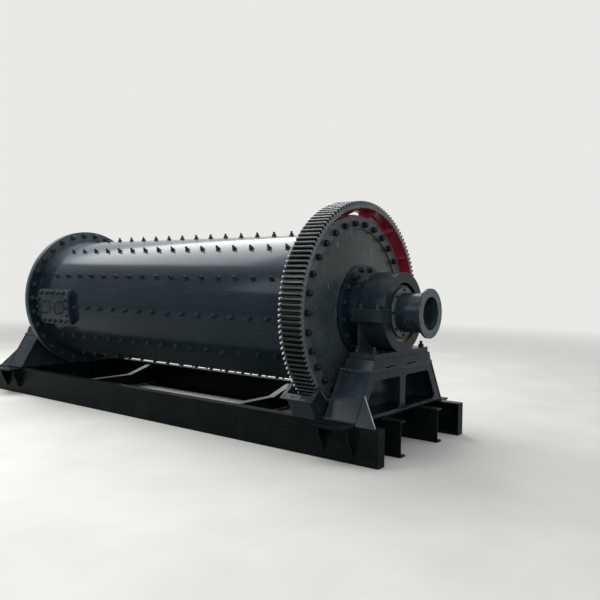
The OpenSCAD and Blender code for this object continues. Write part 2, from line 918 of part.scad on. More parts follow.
// Plates that stand on the outer beams and carry the guard's end flanges
module gear_guard_brackets() {
    x0 = gear_x0 + 10;
    x1 = gear_mid + guard_half_x;
    top_r = guard_flange_r - 10;
    top = under_flange(top_r);
    back_y = base_half_y - outer_beam_b;
    color(paint)
        for (s = [0, 1])
            mirror([0, s, 0])
                difference() {
                    union() {
                        along_x(x0, x1)
                            polygon([
                                [base_half_y - guard_plate_t, beam_h], [base_half_y, beam_h],
                                top, under_flange(top_r - 1.3 * guard_plate_t)
                            ]);
                        for (x = [x0, x1 - guard_plate_t])
                            along_x(x, x + guard_plate_t)
                                polygon([
                                    [back_y, beam_h], [base_half_y, beam_h],
                                    top, under_flange(guard_r), [back_y, under_flange(guard_r)[1]]
                                ]);
                    }
                    drum_bar(guard_r + 0.3, x0 - eps, x1 + eps);
                }
}

module feed_shell_flange() {
    at_feed()
        shell_flange(feed_flange_r, end_x);
}

module discharge_shell_flange() {
    shell_flange(discharge_flange_r, web_x0);
}

module feed_end_cover() {
    at_feed()
        end_cover(feed_flange_r);
}

module discharge_end_cover() {
    end_cover(discharge_flange_r);
}

module feed_trunnion() {
    at_feed()
        trunnion();
}

module discharge_trunnion() {
    trunnion();
}

module feed_sleeve() {
    at_feed()
        sleeve(feed_reach);
}

module discharge_sleeve() {
    sleeve(discharge_reach);
}

module feed_base_plate() {
    at_feed()
        base_plate();
}

module discharge_base_plate() {
    base_plate();
}

module feed_pedestal_sides() {
    at_feed()
        pedestal_sides();
}

module discharge_pedestal_sides() {
    pedestal_sides();
}

module feed_pedestal_slopes() {
    at_feed()
        pedestal_slopes();
}

module discharge_pedestal_slopes() {
    pedestal_slopes();
}

module feed_top_plate() {
    at_feed()
        top_plate();
}

module discharge_top_plate() {
    top_plate();
}

module feed_sole_plate() {
    at_feed()
        sole_plate();
}

module discharge_sole_plate() {
    sole_plate();
}

module feed_bearing_housing() {
    at_feed()
        bearing_housing();
}

module discharge_bearing_housing() {
    bearing_housing();
}

module feed_bearing_bush() {
    at_feed()
        bearing_bush();
}

module discharge_bearing_bush() {
    bearing_bush();
}

module feed_bearing_cap() {
    at_feed()
        bearing_cap();
}

module discharge_bearing_cap() {
    bearing_cap();
}

shell();
feed_shell_flange();
discharge_shell_flange();
feed_end_cover();
discharge_end_cover();
feed_trunnion();
discharge_trunnion();
feed_sleeve();
discharge_sleeve();
girth_gear_rim();
girth_gear_web();
manhole_frame();
manhole_cover();
front_outer_beam();
rear_outer_beam();
feed_inner_beams();
discharge_inner_beams();
feed_tie_plates();
discharge_tie_plates();
gear_side_cross_member();
feed_side_cross_member();
feed_base_plate();
discharge_base_plate();
feed_pedestal_sides();
discharge_pedestal_sides();
feed_pedestal_slopes();
discharge_pedestal_slopes();
feed_top_plate();
discharge_top_plate();
feed_sole_plate();
discharge_sole_plate();
feed_bearing_housing();
discharge_bearing_housing();
feed_bearing_bush();
discharge_bearing_bush();
feed_bearing_cap();
discharge_bearing_cap();
gear_guard();
gear_guard_brackets();
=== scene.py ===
import json
import math

import bmesh
import bpy
from mathutils import Matrix, Vector


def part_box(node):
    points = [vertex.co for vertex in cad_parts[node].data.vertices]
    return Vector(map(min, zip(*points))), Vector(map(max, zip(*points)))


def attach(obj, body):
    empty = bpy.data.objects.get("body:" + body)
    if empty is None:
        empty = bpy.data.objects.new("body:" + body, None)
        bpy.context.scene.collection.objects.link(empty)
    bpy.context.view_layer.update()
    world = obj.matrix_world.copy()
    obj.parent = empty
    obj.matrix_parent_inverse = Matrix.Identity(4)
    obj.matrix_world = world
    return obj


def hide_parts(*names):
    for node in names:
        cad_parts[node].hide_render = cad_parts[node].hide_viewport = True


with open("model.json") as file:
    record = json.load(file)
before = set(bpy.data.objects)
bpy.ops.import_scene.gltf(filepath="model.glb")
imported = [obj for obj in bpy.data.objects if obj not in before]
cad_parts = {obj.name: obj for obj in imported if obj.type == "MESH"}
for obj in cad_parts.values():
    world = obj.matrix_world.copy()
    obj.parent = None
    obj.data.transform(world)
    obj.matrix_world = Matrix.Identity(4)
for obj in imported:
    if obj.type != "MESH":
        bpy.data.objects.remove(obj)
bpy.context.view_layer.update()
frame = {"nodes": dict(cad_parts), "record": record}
nodes = frame["nodes"]
record = frame["record"]
print("frame loaded:", len(nodes), "nodes")

mm = 0.001
axisHeight = record["behaviour"]["joints"][0]["pos_m"][2]
shellLow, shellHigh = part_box("shell")
shellRadius = (shellHigh.z - shellLow.z) / 2
endX = shellHigh.x
gearLow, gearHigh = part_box("girth_gear_rim")
gearTip = gearHigh.z - axisHeight


def srgb(text):
    values = [int(text[i:i + 2], 16) / 255 for i in (1, 3, 5)]
    linear = [v / 12.92 if v <= 0.04045 else ((v + 0.055) / 1.055) ** 2.4 for v in values]
    return (*linear, 1.0)


# Adds a node, sets its fields and inputs, and links other nodes' outputs to it
def addNode(tree, kind, fields=None, values=None, links=None):
    node = tree.nodes.new(kind)
    for key, value in (fields or {}).items():
        setattr(node, key, value)
    for key, value in (values or {}).items():
        node.inputs[key].default_value = value
    for key, source in (links or {}).items():
        tree.links.new(source, node.inputs[key])
    return node


def newMaterial(name):
    material = bpy.data.materials.new(name)
    material.use_nodes = True
    tree = material.node_tree
    tree.nodes.clear()
    place = addNode(tree, "ShaderNodeTexCoord").outputs["Object"]
    return material, tree, place


# Noise in patches, 0 below one limit and 1 above the other, its grain in millimetres
def patches(tree, place, grainMm, low, high, stretch=(1, 1, 1), detail=4, roughness=0.55):
    spread = addNode(tree, "ShaderNodeMapping", values={"Scale": stretch}, links={"Vector": place})
    noise = addNode(tree, "ShaderNodeTexNoise",
                    values={"Scale": 1 / (grainMm * mm), "Detail": detail, "Roughness": roughness},
                    links={"Vector": spread.outputs["Vector"]})
    limits = addNode(tree, "ShaderNodeMapRange", values={"From Min": low, "From Max": high},
                     links={"Value": noise.outputs["Fac"]})
    return limits.outputs["Result"]


# Two tones of a surface in soft clouds, as a brush, a spray gun or a trowel leaves them
def clouded(tree, place, grainMm, tone, deepTone, low=0.35, high=0.68, detail=4):
    cloud = patches(tree, place, grainMm, low, high, (1, 1, 1), detail)
    mix = addNode(tree, "ShaderNodeMix", {"data_type": "RGBA"},
                  {6: srgb(tone), 7: srgb(deepTone)}, {0: cloud})
    return mix.outputs[2]


# Lays a coat over the colour beneath it, as thick as its mask times its amount
def layOver(tree, below, coat, mask, amount=1.0):
    thickness = addNode(tree, "ShaderNodeMath", {"operation": "MULTIPLY", "use_clamp": True},
                        {1: amount}, {0: mask})
    fixed, linked = ({7: srgb(coat)}, {}) if isinstance(coat, str) else ({}, {7: coat})
    mix = addNode(tree, "ShaderNodeMix", {"data_type": "RGBA"}, fixed,
                  {0: thickness.outputs[0], 6: below, **linked})
    return mix.outputs[2]


# 1 where two measures have both passed from their first limit to their second
def bothPast(tree, first, firstLimits, second, secondLimits):
    masks = [addNode(tree, "ShaderNodeMapRange", values={"From Min": low, "From Max": high},
                     links={"Value": measure}).outputs["Result"]
             for measure, (low, high) in ((first, firstLimits), (second, secondLimits))]
    return addNode(tree, "ShaderNodeMath", {"operation": "MULTIPLY"},
                   links={0: masks[0], 1: masks[1]}).outputs[0]


# 1 along sharp edges and 0 on flat faces, with the normal that rounds those edges
def edgeMask(tree, radiusMm):
    rounded = addNode(tree, "ShaderNodeBevel", {"samples": 4}, {"Radius": radiusMm * mm})
    flat = addNode(tree, "ShaderNodeNewGeometry")
    likeness = addNode(tree, "ShaderNodeVectorMath", {"operation": "DOT_PRODUCT"},
                       links={0: rounded.outputs["Normal"], 1: flat.outputs["Normal"]})
    mask = addNode(tree, "ShaderNodeMapRange", values={"From Min": 0.98, "From Max": 0.75},
                   links={"Value": likeness.outputs["Value"]})
    return mask.outputs["Result"], rounded.outputs["Normal"]


# How far a point lies from the drum's axis
def axisDistance(tree, place):
    across = addNode(tree, "ShaderNodeVectorMath", {"operation": "MULTIPLY_ADD"},
                     {1: (0, 1, 1), 2: (0, 0, -axisHeight)}, {0: place})
    length = addNode(tree, "ShaderNodeVectorMath", {"operation": "LENGTH"},
                     links={0: across.outputs["Vector"]})
    return length.outputs["Value"]


# How far a face looks upwards, and how squarely it looks along the drum
def facing(tree):
    normal = addNode(tree, "ShaderNodeNewGeometry").outputs["True Normal"]
    parts = addNode(tree, "ShaderNodeSeparateXYZ", links={0: normal}).outputs
    along = addNode(tree, "ShaderNodeMath", {"operation": "ABSOLUTE"}, links={0: parts["X"]})
    return parts["Z"], along.outputs[0]


# What all the enamels share: the grain of their marks in millimetres and how far those go. Orange
# peel is really 1 to 3 mm across and scratches about 1 mm. Both are drawn coarser, so that they
# show from where the camera stands.
enamelWork = {"runMm": 60, "scratchMm": 14, "chipMm": 22, "veilMm": 240, "leastVeil": 0.75,
              "sootDulls": 0.5, "seam": "#0d1113", "seamAmount": 0.8, "clingingDust": 0.35,
              "peelMm": 9, "peelDepthMm": 0.5, "peelStrength": 0.2, "waveStrength": 0.35}


# Gloss machinery enamel in the order of the real coats: clouded paint, runs, shop dust, scratches
# and knocked edges down to the primer. "ring" is another paint outside a radius, behind a painted
# shadow line at its step, "face" a tone for faces across the drum, "laid" a painted highlight on
# level faces, and a pale top over the drum, part dust and part painted sheen, with soot that dulls
# its underside, between heights in shell radii.
def machineryEnamel(name, look):
    material, tree, place = newMaterial(name)
    colour = clouded(tree, place, look["cloudMm"], look["colour"], look["colourDeep"])
    if "ring" in look:
        distance, seam = axisDistance(tree, place), look["ringFrom"]
        outside = addNode(tree, "ShaderNodeMapRange",
                          values={"From Min": seam, "From Max": seam + 4 * mm},
                          links={"Value": distance})
        colour = layOver(tree, colour, look["ring"], outside.outputs["Result"])
        # Painted shadow: a dark line just inside the ring, where its step would shade the face
        paintedStepShadow = bothPast(tree, distance, (seam - 7 * mm, seam - 4 * mm),
                          distance, (seam + 5 * mm, seam + 2 * mm))
        colour = layOver(tree, colour, enamelWork["seam"], paintedStepShadow, enamelWork["seamAmount"])
    runs = patches(tree, place, enamelWork["runMm"], 0.52, 0.75, look.get("runs", (1, 1, 0.12)), 3)
    colour = layOver(tree, colour, look["runColour"], runs, look["runAmount"])

    upward, endward = facing(tree)
    # Painted highlight: a pale tone on level, upward faces
    if "laid" in look:
        level = addNode(tree, "ShaderNodeMapRange", values={"From Min": 0.6, "From Max": 0.8},
                        links={"Value": upward})
        colour = layOver(tree, colour, look["laid"], level.outputs["Result"], look["laidAmount"])
    if "face" in look:
        ends = addNode(tree, "ShaderNodeMapRange", values={"From Min": 0.95, "From Max": 0.98},
                       links={"Value": endward})
        colour = layOver(tree, colour, look["face"], ends.outputs["Result"])

    # Dust settles on what looks upwards, and a share of it clings to upright faces
    amount = look["dustAmount"]
    settled = addNode(tree, "ShaderNodeMapRange",
                      values={"From Min": 0.55, "From Max": 0.98,
                              "To Min": enamelWork["clingingDust"] * amount, "To Max": amount},
                      links={"Value": upward})
    drifts = patches(tree, place, look["dustMm"], 0.46, 0.78, (1, 1, 1), 6, 0.65)
    dust = addNode(tree, "ShaderNodeMath", {"operation": "MULTIPLY", "use_clamp": True},
                   links={0: drifts, 1: settled.outputs["Result"]}).outputs[0]
    colour = layOver(tree, colour, look["dust"], dust)
    rough = addNode(tree, "ShaderNodeMapRange",
                    values={"To Min": look["roughness"],
                            "To Max": look["roughness"] + look["roughSpread"]},
                    links={"Value": dust}).outputs["Result"]
    # Part dust, part painted sheen: a pale tone over the drum's top, thicker the higher it lies
    if "veil" in look:
        height = addNode(tree, "ShaderNodeSeparateXYZ", links={0: place}).outputs["Z"]
        top = addNode(tree, "ShaderNodeMapRange",
                      values={"From Min": axisHeight + look["veilFrom"] * shellRadius,
                              "From Max": axisHeight + look["veilFull"] * shellRadius},
                      links={"Value": height})
        uneven = addNode(tree, "ShaderNodeMath", {"operation": "ADD", "use_clamp": True},
                         {1: enamelWork["leastVeil"]},
                         {0: patches(tree, place, enamelWork["veilMm"], 0.2, 0.8)})
        veil = addNode(tree, "ShaderNodeMath", {"operation": "MULTIPLY"},
                       links={0: top.outputs["Result"], 1: uneven.outputs[0]})
        colour = layOver(tree, colour, look["veil"], veil.outputs[0], look["veilAmount"])
        soot = addNode(tree, "ShaderNodeMapRange",
                       values={"From Min": axisHeight + look["sootFrom"] * shellRadius,
                               "From Max": axisHeight + look["sootFull"] * shellRadius},
                       links={"Value": height})
        rough = addNode(tree, "ShaderNodeMath", {"operation": "MULTIPLY_ADD", "use_clamp": True},
                        {1: enamelWork["sootDulls"]},
                        {0: soot.outputs["Result"], 2: rough}).outputs[0]

    scratches = patches(tree, place, enamelWork["scratchMm"], 0.64, 0.7,
                        look.get("scratchRun", (0.05, 0.6, 0.6)), 2)
    colour = layOver(tree, colour, look["primer"], scratches, look["scratchAmount"])
    edge, rounded = edgeMask(tree, look["edgeMm"])
    knocks = patches(tree, place, enamelWork["chipMm"], 0.42, 0.62, (1, 1, 1), 5, 0.7)
    chips = addNode(tree, "ShaderNodeMath", {"operation": "MULTIPLY"}, links={0: edge, 1: knocks})
    colour = layOver(tree, colour, look["primer"], chips.outputs[0], look["edgeAmount"])

    # Orange peel, and the longer waves of the brush or of the plate itself
    bump = rounded
    for grainMm, strength, depthMm in (
            (enamelWork["peelMm"], enamelWork["peelStrength"], enamelWork["peelDepthMm"]),
            (look.get("waveAcrossMm", 140), enamelWork["waveStrength"], look.get("waveMm", 2))):
        waves = addNode(tree, "ShaderNodeTexNoise", values={"Scale": 1 / (grainMm * mm), "Detail": 2},
                        links={"Vector": place})
        bump = addNode(tree, "ShaderNodeBump", values={"Strength": strength, "Distance": depthMm * mm},
                       links={"Height": waves.outputs["Fac"], "Normal": bump}).outputs["Normal"]
    shader = addNode(tree, "ShaderNodeBsdfPrincipled", values={"IOR": look.get("ior", 1.2)},
                     links={"Base Color": colour, "Roughness": rough, "Normal": bump})
    addNode(tree, "ShaderNodeOutputMaterial", links={"Surface": shader.outputs["BSDF"]})
    return material


# What lies on the gear: grease between the teeth, the teeth darker towards the bottom, painted
# highlights on the teeth's ends at the feed side, and paint inside the rim. Gives the colour, and how
# far the metal is covered.
def gearCoats(tree, place, look, colour):
    root, tip, inside = look["rootRadius"], look["tipRadius"], look["paintRadius"]
    distance = axisDistance(tree, place)
    endward = facing(tree)[1]
    spot = addNode(tree, "ShaderNodeSeparateXYZ", links={0: place}).outputs
    teeth = bothPast(tree, distance, (root - 10 * mm, root - 3 * mm), endward, (0.9, 0.6))

    # Thickest at the teeth's roots, and smeared along them
    upTooth = addNode(tree, "ShaderNodeMapRange",
                      values={"From Min": root + 12 * mm, "From Max": tip - mm},
                      links={"Value": distance})
    depth = addNode(tree, "ShaderNodeMath", {"operation": "SUBTRACT", "use_clamp": True},
                    {0: look["greaseDepth"]}, {1: upTooth.outputs["Result"]})
    film = addNode(tree, "ShaderNodeMath", {"operation": "MULTIPLY"},
                   links={0: depth.outputs[0], 1: teeth})
    smear = addNode(tree, "ShaderNodeMath", {"operation": "ADD", "use_clamp": True},
                    {1: look["leastSmear"]},
                    {0: patches(tree, place, look["smearMm"], 0.3, 0.7, (0.4, 1, 1), 4, 0.6)})
    grease = addNode(tree, "ShaderNodeMath", {"operation": "MULTIPLY"},
                     links={0: film.outputs[0], 1: smear.outputs[0]}).outputs[0]
    colour = layOver(tree, colour, look["grease"], grease)
    # Darker towards the bottom: the dark colour over the teeth grows with how far below the axis they
    # lie
    lowness = addNode(tree, "ShaderNodeMapRange",
                      values={"From Min": axisHeight + look["pooledFrom"],
                              "From Max": axisHeight + look["pooledFull"]},
                      links={"Value": spot["Z"]})
    darkerBelow = addNode(tree, "ShaderNodeMath", {"operation": "MULTIPLY"},
                     links={0: lowness.outputs["Result"], 1: teeth})
    colour = layOver(tree, colour, look["grease"], darkerBelow.outputs[0], look["pooledAmount"])

    # Painted highlight: pale ends of the teeth at the feed side, where they would catch the light
    chamfer = bothPast(tree, spot["X"], (look["chamferX"], look["chamferX"] - 3 * mm),
                       distance, (tip - 14 * mm, tip - 10 * mm))
    colour = layOver(tree, colour, look["edge"], chamfer, look["edgeAmount"])
    paint = addNode(tree, "ShaderNodeMapRange",
                    values={"From Min": inside + 1.2 * mm, "From Max": inside + 0.6 * mm},
                    links={"Value": distance}).outputs["Result"]
    coat = clouded(tree, place, look["paintCloudMm"], look["paint"], look["paintDeep"])
    covered = addNode(tree, "ShaderNodeMath", {"operation": "ADD", "use_clamp": True},
                      links={0: paint, 1: grease})
    return layOver(tree, colour, coat, paint), covered.outputs[0]


# What the metals share. A film of oil or oxide holds their reflections down.
metalWork = {"roughSpread": 0.2, "specular": 0.21, "grooveMm": 0.5, "grooveStrength": 0.3}


# Machined metal: cut marks that run one way, darker films of oil and bright edges, worn and, on the
# gear, partly a painted highlight. Real cut marks are about a millimetre apart. They are drawn
# coarser, so that they show.
def machinedMetal(name, look):
    material, tree, place = newMaterial(name)
    marks = patches(tree, place, look["markMm"], 0.35, 0.65, look["markRun"], 2)
    colour = addNode(tree, "ShaderNodeMix", {"data_type": "RGBA"},
                     {6: srgb(look["colour"]), 7: srgb(look["colourDeep"])}, {0: marks}).outputs[2]
    oil = patches(tree, place, look["oilMm"], 0.45, 0.7, (1, 1, 1), 5, 0.6)
    colour = layOver(tree, colour, look["oil"], oil, look["oilAmount"])
    edge, rounded = edgeMask(tree, look["edgeMm"])
    colour = layOver(tree, colour, look["edge"], edge, look["edgeAmount"])
    rough = addNode(tree, "ShaderNodeMapRange",
                    values={"To Min": look["roughness"],
                            "To Max": look["roughness"] + metalWork["roughSpread"]},
                    links={"Value": marks})
    grooves = addNode(tree, "ShaderNodeBump",
                      values={"Strength": metalWork["grooveStrength"],
                              "Distance": metalWork["grooveMm"] * mm},
                      links={"Height": marks, "Normal": rounded})
    shader = addNode(tree, "ShaderNodeBsdfPrincipled",
                     values={"Metallic": look["metallic"], "Specular IOR Level": metalWork["specular"]},
                     links={"Roughness": rough.outputs["Result"], "Normal": grooves.outputs["Normal"]})
    if "tipRadius" in look:
        colour, covered = gearCoats(tree, place, look, colour)
        bare = addNode(tree, "ShaderNodeMath", {"operation": "SUBTRACT", "use_clamp": True},
                       {0: look["metallic"]}, {1: covered})
        tree.links.new(bare.outputs[0], shader.inputs["Metallic"])
    tree.links.new(colour, shader.inputs["Base Color"])
    addNode(tree, "ShaderNodeOutputMaterial", links={"Surface": shader.outputs["BSDF"]})
    return material


# Slate alkyd enamel, sprayed on the rolled shell: a smooth dark gloss that carries the windows as
# one long sheen along the top, paler there with dust and a painted sheen, and dull underneath
shellEnamel = machineryEnamel("slateEnamelSprayed", {
    "colour": "#182932", "colourDeep": "#132129", "cloudMm": 620,
    "runColour": "#28363f", "runAmount": 0.25, "runs": (0.15, 1, 1),
    "dust": "#5c6664", "dustMm": 320, "dustAmount": 0.14,
    "primer": "#8a8f8c", "scratchAmount": 0.05, "edgeMm": 5, "edgeAmount": 0.5,
    "veil": "#8f999f", "veilAmount": 0.32, "veilFrom": 0.42, "veilFull": 0.98,
    "sootFrom": -0.45, "sootFull": -0.9,
    "roughness": 0.15, "roughSpread": 0.35, "waveMm": 1.2, "waveAcrossMm": 260})
# Black-green enamel, brushed on rolled channels: nearly black, with a low gloss and grey dust on
# the flanges
beamLook = {
    "colour": "#0c1515", "colourDeep": "#090f10", "cloudMm": 420,
    "runColour": "#172122", "runAmount": 0.3,
    "dust": "#474f4a", "dustMm": 260, "dustAmount": 0.25,
    "primer": "#6b706b", "scratchAmount": 0.05, "edgeMm": 5, "edgeAmount": 0.7,
    "roughness": 0.3, "roughSpread": 0.35, "ior": 1.12, "waveMm": 1}
baseEnamel = machineryEnamel("blackGreenEnamelBrushed", beamLook)
# The same enamel with a painted highlight: pale strips on the cross members' upward faces
highlitTopEnamel = machineryEnamel("blackGreenEnamelUnderDust",
                              beamLook | {"laid": "#b9bfbd", "laidAmount": 0.85})
# Blue-grey enamel, brushed on welded plate: a wavy gloss with paler runs and dust in patches
pedestalLook = {
    "colour": "#233036", "colourDeep": "#192329", "cloudMm": 330,
    "runColour": "#33414a", "runAmount": 0.4,
    "dust": "#636a64", "dustMm": 220, "dustAmount": 0.35,
    "primer": "#868b86", "scratchAmount": 0.07, "edgeMm": 5, "edgeAmount": 0.7,
    "roughness": 0.16, "roughSpread": 0.4, "waveMm": 2}
pedestalEnamel = machineryEnamel("blueGreyEnamelBrushed", pedestalLook)
# The same enamel where it is handled and stepped on: pale edges, partly knocked to the primer and
# partly a painted highlight, and more dust
wornAndHighlitEdgeEnamel = machineryEnamel("blueGreyEnamelWornEdges", pedestalLook | {
    "dust": "#737b76", "dustMm": 180, "dustAmount": 0.5,
    "primer": "#b9c0bd", "scratchAmount": 0.1, "edgeMm": 10, "edgeAmount": 1.0,
    "roughness": 0.18})
# Grey primer on a flame-cut edge that the enamel missed: a pale, dull line
cutEdge = machineryEnamel("primerOnCutEdge", {
    "colour": "#a9b1b1", "colourDeep": "#8c9596", "cloudMm": 90,
    "runColour": "#c3c9c6", "runAmount": 0.4,
    "dust": "#737b76", "dustMm": 70, "dustAmount": 0.4,
    "primer": "#cfd4d0", "scratchAmount": 0.2, "edgeMm": 2, "edgeAmount": 0.5,
    "roughness": 0.35, "roughSpread": 0.3})
# Blue-grey enamel on sand-cast iron: softer highlights, a lumpy skin and brown at the edges
castEnamel = machineryEnamel("blueGreyEnamelOnCastIron", {
    "colour": "#243138", "colourDeep": "#1b262c", "cloudMm": 220,
    "runColour": "#34424a", "runAmount": 0.3,
    "dust": "#676e67", "dustMm": 170, "dustAmount": 0.35,
    "primer": "#75604f", "scratchAmount": 0.04, "edgeMm": 8, "edgeAmount": 0.45,
    "roughness": 0.26, "roughSpread": 0.3, "waveMm": 5})
# Green-grey primer on the turned end covers: dull and scuffed, in a ring of slate enamel, with a
# painted shadow line where the ring steps down
coverEnamel = machineryEnamel("greenGreyPrimerScuffed", {
    "colour": "#3b4747", "colourDeep": "#2c3839", "cloudMm": 300,
    "ring": "#47525b", "ringFrom": 0.82,
    "runColour": "#4a5757", "runAmount": 0.35,
    "dust": "#737c78", "dustMm": 190, "dustAmount": 0.4,
    "primer": "#8f958d", "scratchAmount": 0.35, "scratchRun": (0.5, 0.35, 0.12),
    "edgeMm": 5, "edgeAmount": 0.6,
    "roughness": 0.28, "roughSpread": 0.3, "ior": 1.3})
# Slate enamel on the turned sleeves: a little gloss, pale end faces and rubbed bright edges
sleeveEnamel = machineryEnamel("slateEnamelOnSleeves", {
    "colour": "#28353d", "colourDeep": "#1d272e", "cloudMm": 150,
    "face": "#596365",
    "runColour": "#3a474f", "runAmount": 0.3,
    "dust": "#737b77", "dustMm": 120, "dustAmount": 0.35,
    "primer": "#b4bab6", "scratchAmount": 0.15, "scratchRun": (0.5, 0.35, 0.06),
    "edgeMm": 4, "edgeAmount": 0.95,
    "roughness": 0.22, "roughSpread": 0.3})
# Red oxide primer, brushed on the gear's web: a full dark red, half dull, dusty on top
redEnamel = machineryEnamel("redOxidePrimerGloss", {
    "colour": "#a63445", "colourDeep": "#882838", "cloudMm": 160,
    "runColour": "#b14d59", "runAmount": 0.25,
    "dust": "#957572", "dustMm": 130, "dustAmount": 0.45,
    "primer": "#8a8f8c", "scratchAmount": 0.06, "edgeMm": 4, "edgeAmount": 0.4,
    "roughness": 0.34, "roughSpread": 0.25})
# Hobbed steel under an oil film: grey lands with fine marks along the drum, black flanks, bright
# edges that are partly worn and partly painted highlight, and painted highlights on the teeth's ends
# at the feed side
gearSteel = machinedMetal("hobbedSteelOiled", {
    "colour": "#70797b", "colourDeep": "#545d5f", "markMm": 18, "markRun": (0.06, 1, 1),
    "oil": "#343c3d", "oilMm": 160, "oilAmount": 0.45,
    "edge": "#d9dfdd", "edgeMm": 2.2, "edgeAmount": 0.9, "metallic": 0.2, "roughness": 0.26,
    "tipRadius": gearTip, "rootRadius": gearTip - 36 * mm, "paintRadius": gearTip - 68 * mm,
    "chamferX": gearLow.x + 16 * mm,
    "grease": "#090c0d", "greaseDepth": 1.4, "smearMm": 45, "leastSmear": 0.7,
    "pooledFrom": 0.15, "pooledFull": -0.2, "pooledAmount": 0.7,
    "paint": "#a63445", "paintDeep": "#882838", "paintCloudMm": 160})
# Bored tin bronze: a warm brown-yellow crescent under the journal, streaked round the bore
bearingMetal = machinedMetal("tinBronzeBored", {
    "colour": "#a8915e", "colourDeep": "#8a744a", "markMm": 10, "markRun": (0.1, 1, 1),
    "oil": "#5e5038", "oilMm": 90, "oilAmount": 0.5,
    "edge": "#c9b486", "edgeMm": 2, "edgeAmount": 0.5, "metallic": 0.9, "roughness": 0.3})
# Black oxide on forged fasteners: near-black satin with steel showing on the corners
blackFastener = machinedMetal("blackOxideFastener", {
    "colour": "#33383b", "colourDeep": "#1f2325", "markMm": 12, "markRun": (1, 1, 1),
    "oil": "#131516", "oilMm": 40, "oilAmount": 0.4,
    "edge": "#7a8184", "edgeMm": 1.5, "edgeAmount": 0.5, "metallic": 0.7, "roughness": 0.36})
# Slate enamel over fasteners: they look as one with the plate, but for their rubbed corners
paintedFastener = machineryEnamel("slateEnamelOnFasteners", {
    "colour": "#242f36", "colourDeep": "#192126", "cloudMm": 180,
    "runColour": "#3b474e", "runAmount": 0.35,
    "dust": "#6d7671", "dustMm": 60, "dustAmount": 0.35,
    "primer": "#9a9f9b", "scratchAmount": 0.1, "edgeMm": 2.5, "edgeAmount": 0.7,
    "roughness": 0.26, "roughSpread": 0.3})
print("materials made")

slotMaterials = {
    "shell_paint": shellEnamel, "base_paint": baseEnamel, "pedestal_paint": pedestalEnamel,
    "cast_housing": castEnamel, "cover_paint": coverEnamel, "gear_red": redEnamel,
    "gear_steel": gearSteel, "bearing_metal": bearingMetal}
# Nodes whose names end so have a finish of their own
ownMaterials = {"_sleeve": sleeveEnamel, "_top_plate": wornAndHighlitEdgeEnamel,
                "manhole_cover": wornAndHighlitEdgeEnamel, "_cross_member": highlitTopEnamel}
for part in record["subparts"]:
    finish = slotMaterials[part["material_slot"]]
    for ending, material in ownMaterials.items():
        if part["node"].endswith(ending):
            finish = material
    mesh = nodes[part["node"]].data
    mesh.materials.clear()
    mesh.materials.append(finish)


# Turns a bmesh into a named piece that rides on a body
def finishPiece(name, bm, material, body, smoothAngle=None):
    bmesh.ops.remove_doubles(bm, verts=bm.verts, dist=1e-6)
    bmesh.ops.recalc_face_normals(bm, faces=bm.faces)
    mesh = bpy.data.meshes.new(name)
    bm.to_mesh(mesh)
    bm.free()
    mesh.materials.append(material)
    if smoothAngle:
        mesh.shade_smooth()
        mesh.set_sharp_from_angle(angle=math.radians(smoothAngle))
    piece = bpy.data.objects.new(name, mesh)
    bpy.context.scene.collection.objects.link(piece)
    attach(piece, body)
    return piece


# A prism that stands on +Z between two heights, with a chamfer round its top
def addPrism(bm, sides, radiusMm, lowMm, highMm, chamferMm=None):
    middle = (lowMm + highMm) / 2 * mm
    made = bmesh.ops.create_cone(bm, cap_ends=True, segments=sides, radius1=radiusMm * mm,
                                 radius2=radiusMm * mm, depth=(highMm - lowMm) * mm,
                                 matrix=Matrix.Translation((0, 0, middle)))
    if chamferMm:
        rim = [e for e in bm.edges if all(v in made["verts"] and v.co.z > middle for v in e.verts)]
        bmesh.ops.bevel(bm, geom=rim, offset=chamferMm * mm, offset_type="OFFSET", segments=1,
                        profile=0.5, affect="EDGES", material=-1)


# Puts a copy of what the bmesh holds on every seat, in place of the first
def scatter(bm, seats):
    template = bpy.data.meshes.new("template")
    bm.to_mesh(template)
    bm.clear()
    for seat in seats:
        first = len(bm.verts)
        bm.from_mesh(template)
        bm.verts.ensure_lookup_table()
        bmesh.ops.transform(bm, matrix=seat, verts=bm.verts[first:])
    bpy.data.meshes.remove(template)
    return bm


# A nut on a washer with the stud's end standing out, on every seat. The sizes in millimetres are
# the washer's and the stud's radius and height, and the nut's width over its flats and height.
def fasteners(name, size, seats, material, body):
    (washer, thick), (flats, tall), (stud, out) = size["washerMm"], size["nutMm"], size["studMm"]
    bm = bmesh.new()
    addPrism(bm, 18, washer, 0, thick)
    addPrism(bm, 6, flats / math.sqrt(3), thick, thick + tall, flats * 0.06)
    addPrism(bm, 12, stud, 0, out, stud * 0.2)
    print(name, len(seats))
    return finishPiece(name, scatter(bm, seats), material, body)


# Stands for a CAD node: a merged copy of its mesh, its corners moved or taken out by a rule
def reshaped(name, node, rule, material, body):
    bm = bmesh.new()
    bm.from_mesh(nodes[node].data)
    bmesh.ops.remove_doubles(bm, verts=bm.verts, dist=1e-6)
    unwanted = []
    for vert in bm.verts:
        place = rule(vert.co.copy())
        if place is None:
            unwanted.append(vert)
        else:
            vert.co = place
    bmesh.ops.delete(bm, geom=unwanted, context="VERTS")
    piece = finishPiece(name, bm, material, body)
    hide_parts(node)
    return piece


# A seat on the drum's round: local Z points away from the axis
def radialSeat(x, angle, radius, turn=0.0):
    return (Matrix.Translation((x, 0, axisHeight)) @ Matrix.Rotation(math.radians(angle), 4, "X")
            @ Matrix.Translation((0, 0, radius)) @ Matrix.Rotation(math.radians(turn), 4, "Z"))


# A seat on a face across the drum: local Z points along +X or -X
def facingSeat(x, angle, radius, sign, turn=0.0):
    return (radialSeat(x, angle, radius) @ Matrix.Rotation(math.radians(90 * sign), 4, "Y")
            @ Matrix.Rotation(math.radians(turn), 4, "Z"))


